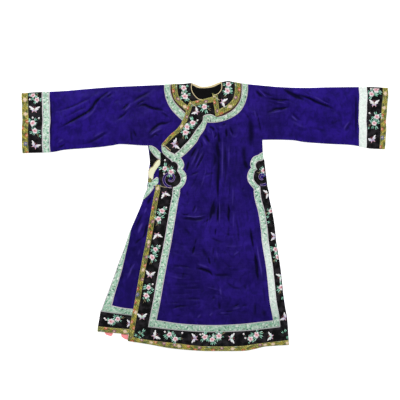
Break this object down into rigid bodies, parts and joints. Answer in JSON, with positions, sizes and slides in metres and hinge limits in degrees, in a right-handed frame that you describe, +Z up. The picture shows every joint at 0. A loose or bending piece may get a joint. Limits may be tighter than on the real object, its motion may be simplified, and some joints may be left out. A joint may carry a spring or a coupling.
{
  "type": "chinese robe",
  "caption": "Long silk robe with wide straight sleeves, round neck and side closing, edged with bands and ribbons, lying flat on its back with the sleeves spread.",
  "frame": {"origin": "centre of the outline, on the surface that the robe lies on", "axes": "+X across from the cuff of the wearer's right sleeve to the cuff of the left one, +Y from the hem to the neck, +Z up out of the front"},
  "size_m": [1.3918, 1.0262, 0.0166],
  "materials": {
    "silk": "deep violet-blue silk with a soft sheen",
    "black_satin": "black satin with coloured flower and butterfly embroidery",
    "ribbon": "pale mint woven ribbon with a darker vine",
    "brocade": "olive-gold brocade ribbon with small flowers",
    "cream_piping": "cream silk cord",
    "dark_piping": "dark maroon silk cord",
    "lilac_piping": "lilac silk cord",
    "coral_lining": "coral silk lining"
  },
  "bodies": {
    "root": {"body_left": "silk", "body_right": "silk", "front_lap": "silk", "sleeve_left": "silk", "sleeve_right": "silk", "cuff_ribbon_left": "ribbon", "cuff_ribbon_right": "ribbon", "cuff_band_left": "black_satin", "cuff_band_right": "black_satin", "cuff_binding_left": "brocade", "cuff_binding_right": "brocade", "collar_left_ribbon": "ribbon", "collar_left_cord": "dark_piping", "collar_left_binding": "brocade", "collar_left_band": "black_satin", "collar_right_ribbon": "ribbon", "collar_right_cord": "dark_piping", "collar_right_binding": "brocade", "collar_right_front_binding": "brocade", "collar_right_band": "black_satin", "neck_piping_left": "cream_piping", "neck_piping_right": "cream_piping", "back_neck_binding": "cream_piping", "back_neck_facing": "black_satin", "lap_binding": "brocade", "lap_top_binding": "brocade", "lap_band": "black_satin", "lap_ribbon": "ribbon", "lap_border_binding": "brocade", "lap_border_band": "black_satin", "lap_border_ribbon": "ribbon", "right_border_band": "black_satin", "right_border_ribbon": "ribbon", "right_hem_binding": "brocade", "ruyi_left": "black_satin", "ruyi_left_ribbon": "ribbon", "ruyi_left_piping": "lilac_piping", "ruyi_right": "black_satin", "ruyi_right_ribbon": "ribbon", "ruyi_right_piping": "lilac_piping", "underlap_ruyi_ribbon": "ribbon", "underlap_ruyi_band": "black_satin", "underlap_ruyi_binding": "cream_piping", "underlap_side_ribbon": "ribbon", "underlap_hem_ribbon": "ribbon", "underlap_band": "black_satin", "underlap_binding": "brocade", "back_hem_lining": "coral_lining", "button_neck": "cream_piping", "button_collar": "cream_piping", "button_underarm": "cream_piping", "loop_neck": "cream_piping", "loop_collar": "cream_piping", "loop_underarm": "cream_piping"}
  },
  "joints": []
}
